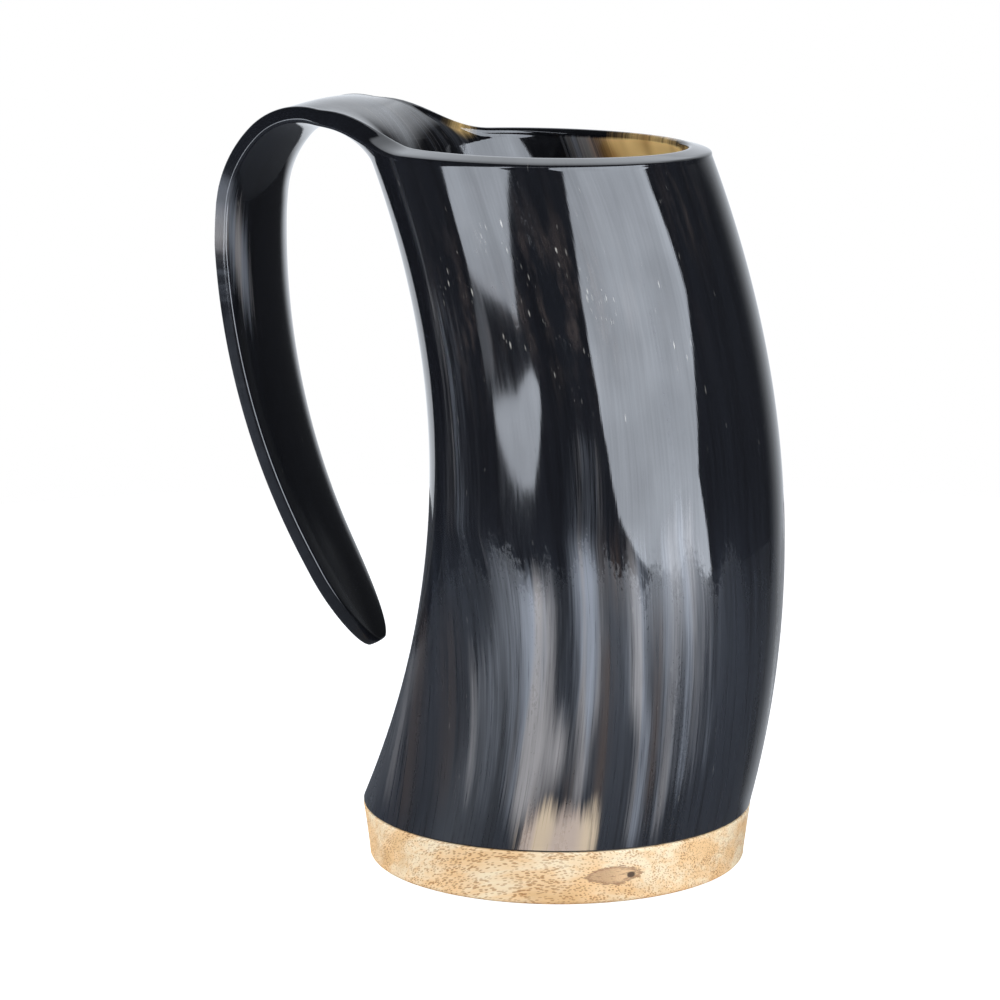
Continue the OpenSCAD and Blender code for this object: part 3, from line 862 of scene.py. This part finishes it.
# The turned wooden base
WOOD_SHARP = 40
AXIS_GAP = 0.5
FIBRE_CREST_X = 12
FIBRE_CREST_BEND = 0.009
# Unevenness of the base's side: depth in millimetres, waves round it and phase, fading out at its edges
WOOD_WAVES = ((0.10, 7, 0.8), (0.07, 13, 2.0))
WOOD_WAVE_INSET, WOOD_WAVE_FADE = 2, 3
# Darker patches: strength, angle and its spread, height and its spread; the second is a brown stain near
# the foot
DARK_PATCHES = ((0.8, -48, 12, 6, 5), (0.7, -104, 7, 1.5, 3), (0.45, -128, 22, 1, 3))


def arc(centre, radius, first, last):
    turns = np.radians(np.linspace(first, last, ARC_STEPS + 1))
    return np.stack([centre[0] + radius * np.cos(turns), centre[1] + radius * np.sin(turns)], axis=1)


def base_profile():
    """Radius and height of the base's outline, from its underside's middle to its plug's middle."""
    foot = arc((BASE_FOOT_R - BASE_EDGE_R, BASE_EDGE_R), BASE_EDGE_R, -90, 0)
    shoulder = arc((HORN_FOOT_R - SHOULDER_EDGE_R, BASE_H - SHOULDER_EDGE_R), SHOULDER_EDGE_R, 0, 90)
    side = np.linspace(foot[-1], shoulder[0], SIDE_ROWS)[1:-1]
    under = np.linspace((AXIS_GAP, 0), foot[0], UNDER_ROWS)[:-1]
    plug = np.array([
        (PLUG_R, BASE_H), (PLUG_R, PLUG_TOP - PLUG_CHAMFER), (PLUG_R - PLUG_CHAMFER, PLUG_TOP)])
    top = np.linspace(plug[-1], (AXIS_GAP, PLUG_TOP), TOP_ROWS)[1:]
    return np.concatenate([under, foot, side, shoulder, plug, top])


def turned_mesh_data(profile, cols):
    """Points and faces of a closed turned solid whose outline starts and ends near the axis."""
    angles = np.linspace(0, 2 * math.pi, cols, endpoint=False)
    radius, z = profile[:, :1], profile[:, 1:]
    rings = np.stack([-radius * np.cos(angles), radius * np.sin(angles), z + 0 * angles], axis=-1)
    points = np.concatenate([rings.reshape(-1, 3), [[0, 0, profile[0, 1]], [0, 0, profile[-1, 1]]]])
    at = np.arange(len(profile) * cols).reshape(len(profile), cols)
    at = np.hstack([at, at[:, :1]])
    faces = quads(at).tolist()
    low, high = len(points) - 2, len(points) - 1
    for j in range(cols):
        faces.append([low, at[0, j + 1], at[0, j]])
        faces.append([high, at[-1, j], at[-1, j + 1]])
    return points, np.array(faces, dtype=object)


def wood_piece():
    points, faces = turned_mesh_data(base_profile(), BASE_COLS)
    angle = np.arctan2(points[:, 1], -points[:, 0])
    radius = np.hypot(points[:, 0], points[:, 1])
    height = points[:, 2]
    side = rise(radius - PLUG_R, WOOD_WAVE_INSET, WOOD_WAVE_INSET)
    side = side * rise(height, 0, WOOD_WAVE_FADE) * fall(height, BASE_H, WOOD_WAVE_FADE)
    wobble = side * sum(depth * np.sin(turns * angle + phase) for depth, turns, phase in WOOD_WAVES)
    points[:, :2] = points[:, :2] * (1 - np.abs(wobble) / np.maximum(radius, 1))[:, None]
    piece = mesh_object("base", points, faces, WOOD_SHARP)
    x, y, z = points.T
    arch = FIBRE_CREST_BEND * (x - FIBRE_CREST_X) ** 2
    write_values(piece, "fibre", np.stack([x, y, z + arch], axis=1))
    degrees = np.degrees(angle)
    dark_patch = sum(patch(degrees, z, *place) for place in DARK_PATCHES)
    write_values(piece, "dark_patch", np.clip(dark_patch, 0, 1))
    arc_off = np.radians(wrap(degrees - KNOT_ANGLE)) * HORN_FOOT_R
    write_values(piece, "knot_place", np.stack([arc_off, z - KNOT_Z, 0 * z], axis=1))
    piece.data.materials.append(material("waxed_wood", wood_inputs))
    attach(piece, "root")
    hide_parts("wood_base")
    return piece


def dress_node(name, item):
    """A CAD node that stays as it is, with a finer material."""
    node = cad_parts[name]
    node.data.materials.clear()
    node.data.materials.append(item)


# Camera
CAMERA_PLACE = (219.0, -717.2, 221.6)
CAMERA_AIM = (-11.58, -3.46, 75.96)
CAMERA_LENS, SENSOR_W = 131.4, 36


def add_camera():
    data = bpy.data.cameras.new("camera")
    data.lens = CAMERA_LENS
    data.sensor_width = SENSOR_W
    camera = link_object("camera", data)
    place = Vector(CAMERA_PLACE) * MM
    camera.location = place
    camera.rotation_euler = (Vector(CAMERA_AIM) * MM - place).to_track_quat("-Z", "Y").to_euler()
    bpy.context.scene.camera = camera


# Stage: floor, soft boxes and world
FLOOR_R, FLOOR_SIDES = 420, 96
FLOOR_GLOW = 0.75
PAPER_DARK, PAPER_LIGHT = rgb(0.80, 0.80, 0.80), rgb(0.84, 0.84, 0.84)
PAPER_SCALE = (900, 900, 900)
MIRRORED_FLOOR = rgb(0.20, 0.21, 0.23)
PANEL_R = 350
PANEL_TINT = rgb(0.91, 0.98, 1.09)
PANEL_STRENGTH, DIM_STRENGTH = 5.2, 1.0
LEFT_FILL_STRENGTH, RIGHT_FILL_STRENGTH = 4.4, 3.9
PANEL_SCALE = (9, 9, 7)
PANEL_SPAN = (0.25, 0.75, 0.84, 1.16)
EDGE_CARD_INSET, EDGE_CARD_W, EDGE_CARD_Y, EDGE_CARD_H = 2, 26, 30, 190
EDGE_CARD_GLOW = (0.85, 0.05)
EDGE_CARD_ROWS = 24
# World: a dark room that the horn mirrors, with a white backdrop at one side and a white ceiling behind
BACKDROP_WAY, STRAIGHT_BACK = (-0.469, 0.883, 0.0), (-0.292, 0.956, 0.0)
BACKDROP_TINT = rgb(0.93, 0.98, 1.05)
BACKDROP_SPAN = (0.83, 0.955)
CEILING_RISE_SPAN, CEILING_BACK_SPAN = (0.18, 0.40), (0.45, 0.80)
CEILING_GLOW = 1.35
ROOM_TINT = rgb(0.034, 0.036, 0.041)
ROOM_LIGHT = rgb(0.30, 0.30, 0.30)
SEEN_WHITE = rgb(1.0, 1.0, 1.0)
# Corners of the soft boxes as angle from the front towards +X, and height, in degrees and millimetres
RIGHT_BOX = (
    (38, 262), (28, 201), (20, 146), (18.3, 118), (19.3, 90), (22.3, 67), (26, 52), (38, 32), (50, 18),
    (75, 8), (84, 10), (75.5, 80), (80, 125), (90, 196), (89, 265), (92, 320))
LEFT_BOX = (
    (4, 182), (-2, 152), (-12.5, 115), (-20.4, 86), (-24.4, 73), (-28.6, 69), (-37, 60.5), (-53, 44),
    (-52.5, 50), (-48.8, 60), (-42, 82))
LOW_BOX = (
    (-21.4, 69), (-18.3, 69), (-19.4, 62.6), (-22.8, 52.4), (-27.5, 44), (-41.7, 38), (-48.6, 36.5),
    (-52, 36.6), (-49, 39), (-32.6, 53), (-25.7, 63))
DIM_BOX = ((-54.6, 41), (-48, 47.5), (-44.7, 46.7), (-47.2, 42), (-55, 36.7), (-55.8, 38))
TOP_BOX = ((-2, 160), (32, 236), (38, 262), (4, 182))
LEFT_FILL = ((-100, 5), (-40, 5), (-40, 280), (-100, 280))
RIGHT_FILL = ((25, 5), (85, 5), (85, 280), (25, 280))


def flat_object(name, points_mm, faces, item):
    mesh = bpy.data.meshes.new(name)
    mesh.from_pydata([[c * MM for c in p] for p in points_mm], [], faces)
    mesh.materials.append(item)
    return link_object(name, mesh)


def add_floor():
    turns = np.linspace(0, 2 * math.pi, FLOOR_SIDES, endpoint=False)
    points = [(FLOOR_R * math.cos(t), FLOOR_R * math.sin(t), 0) for t in turns]
    item, g = new_material("white_paper")
    rays = g.add("ShaderNodeLightPath").outputs
    seen = g.math("MAXIMUM", rays["Is Glossy Ray"], rays["Is Transmission Ray"])
    strength = g.math("MULTIPLY", rays["Is Camera Ray"], FLOOR_GLOW)
    fibre = g.noise(g.add("ShaderNodeTexCoord").outputs["Object"], PAPER_SCALE, detail=2.0)
    paper = g.blend(seen, g.blend(fibre, PAPER_DARK, PAPER_LIGHT), MIRRORED_FLOOR)
    body = g.add("ShaderNodeBsdfDiffuse", {"Color": paper}).outputs[0]
    glow = g.add("ShaderNodeEmission", {"Strength": strength}).outputs[0]
    both = g.add("ShaderNodeAddShader", {0: body, 1: glow}).outputs[0]
    g.add("ShaderNodeOutputMaterial", {"Surface": both})
    floor = flat_object("floor", points, [list(range(len(points)))], item)


def place_panel(name, points, faces, item, lights, mirrored):
    panel = flat_object(name, points, faces, item)
    panel.visible_camera = False
    panel.visible_shadow = False
    panel.visible_diffuse = lights
    panel.visible_glossy = mirrored
    return panel


def add_panel(name, corners, strength, lights=True, mirrored=True):
    """A soft box: a bright patch on an upright cylinder round the cup, hidden from the camera."""
    points = []
    for azimuth, height in corners:
        t = math.radians(azimuth)
        points.append((PANEL_R * math.sin(t), -PANEL_R * math.cos(t), height))
    item, g = new_material(name)
    uneven = g.noise(g.add("ShaderNodeTexCoord").outputs["Object"], PANEL_SCALE, detail=1.0)
    glow = g.math("MULTIPLY", g.span(uneven, *PANEL_SPAN), strength)
    light = g.add("ShaderNodeEmission", {"Color": PANEL_TINT, "Strength": glow}).outputs[0]
    g.add("ShaderNodeOutputMaterial", {"Surface": light})
    place_panel(name, points, [list(range(len(points)))], item, lights, mirrored)


def add_edge_card():
    """A white card close behind the cup's right side, only mirrored in the horn, dimmer to the right."""
    heights = np.linspace(0, EDGE_CARD_H, EDGE_CARD_ROWS)
    points = []
    for height in heights:
        z = min(height, LIP_Z)
        near = axis_x(z) + horn_r(z) - EDGE_CARD_INSET
        points.append((near, EDGE_CARD_Y, height))
        points.append((near + EDGE_CARD_W, EDGE_CARD_Y, height))
    faces = quads(np.arange(2 * EDGE_CARD_ROWS).reshape(EDGE_CARD_ROWS, 2)).tolist()
    item, g = new_material("edge_card")
    glow = g.span(g.value("across"), 0.0, 1.0, *EDGE_CARD_GLOW)
    light = g.add("ShaderNodeEmission", {"Color": BACKDROP_TINT, "Strength": glow}).outputs[0]
    g.add("ShaderNodeOutputMaterial", {"Surface": light})
    card = place_panel("edge_card", points, faces, item, lights=False, mirrored=True)
    write_values(card, "across", np.tile([0.0, 1.0], EDGE_CARD_ROWS))


def add_world():
    world = bpy.data.worlds.new("studio")
    world.use_nodes = True
    bpy.context.scene.world = world
    g = Graph(world.node_tree)
    rays = g.add("ShaderNodeLightPath").outputs
    ahead = g.add("ShaderNodeTexCoord").outputs["Generated"]
    level = g.vector("NORMALIZE", g.vector("MULTIPLY", ahead, (1.0, 1.0, 0.0)))
    backdrop = g.span(g.dot(level, BACKDROP_WAY), *BACKDROP_SPAN)
    height = g.add("ShaderNodeSeparateXYZ", {0: ahead}).outputs["Z"]
    back = g.span(g.dot(level, STRAIGHT_BACK), *CEILING_BACK_SPAN, 0.0, CEILING_GLOW)
    ceiling = g.math("MULTIPLY", g.span(height, *CEILING_RISE_SPAN), back)
    white = g.math("MAXIMUM", backdrop, ceiling)
    room = g.blend(white, ROOM_TINT, BACKDROP_TINT, clamped=False)
    shown = g.math("MAXIMUM", rays["Is Camera Ray"], rays["Is Transmission Ray"])
    colour = g.blend(rays["Is Glossy Ray"], ROOM_LIGHT, room)
    colour = g.blend(shown, colour, SEEN_WHITE)
    sky = g.add("ShaderNodeBackground", {"Color": colour, "Strength": 1.0}).outputs[0]
    g.add("ShaderNodeOutputWorld", {"Surface": sky})


# Everything in its place
horn_piece()
wood_piece()
dress_node("glue_seam", material("dried_glue", glue_inputs))
dress_node("seal_layer", material("clear_resin", resin_inputs))
add_camera()
add_floor()
add_panel("soft_box_right", RIGHT_BOX, PANEL_STRENGTH, lights=False)
add_panel("soft_box_left", LEFT_BOX, PANEL_STRENGTH, lights=False)
add_panel("soft_box_low", LOW_BOX, PANEL_STRENGTH, lights=False)
add_panel("soft_box_dim", DIM_BOX, DIM_STRENGTH, lights=False)
add_panel("soft_box_top", TOP_BOX, PANEL_STRENGTH, lights=False)
add_panel("fill_left", LEFT_FILL, LEFT_FILL_STRENGTH, mirrored=False)
add_panel("fill_right", RIGHT_FILL, RIGHT_FILL_STRENGTH, mirrored=False)
add_edge_card()
add_world()
bpy.context.scene.view_settings.view_transform = "Standard"
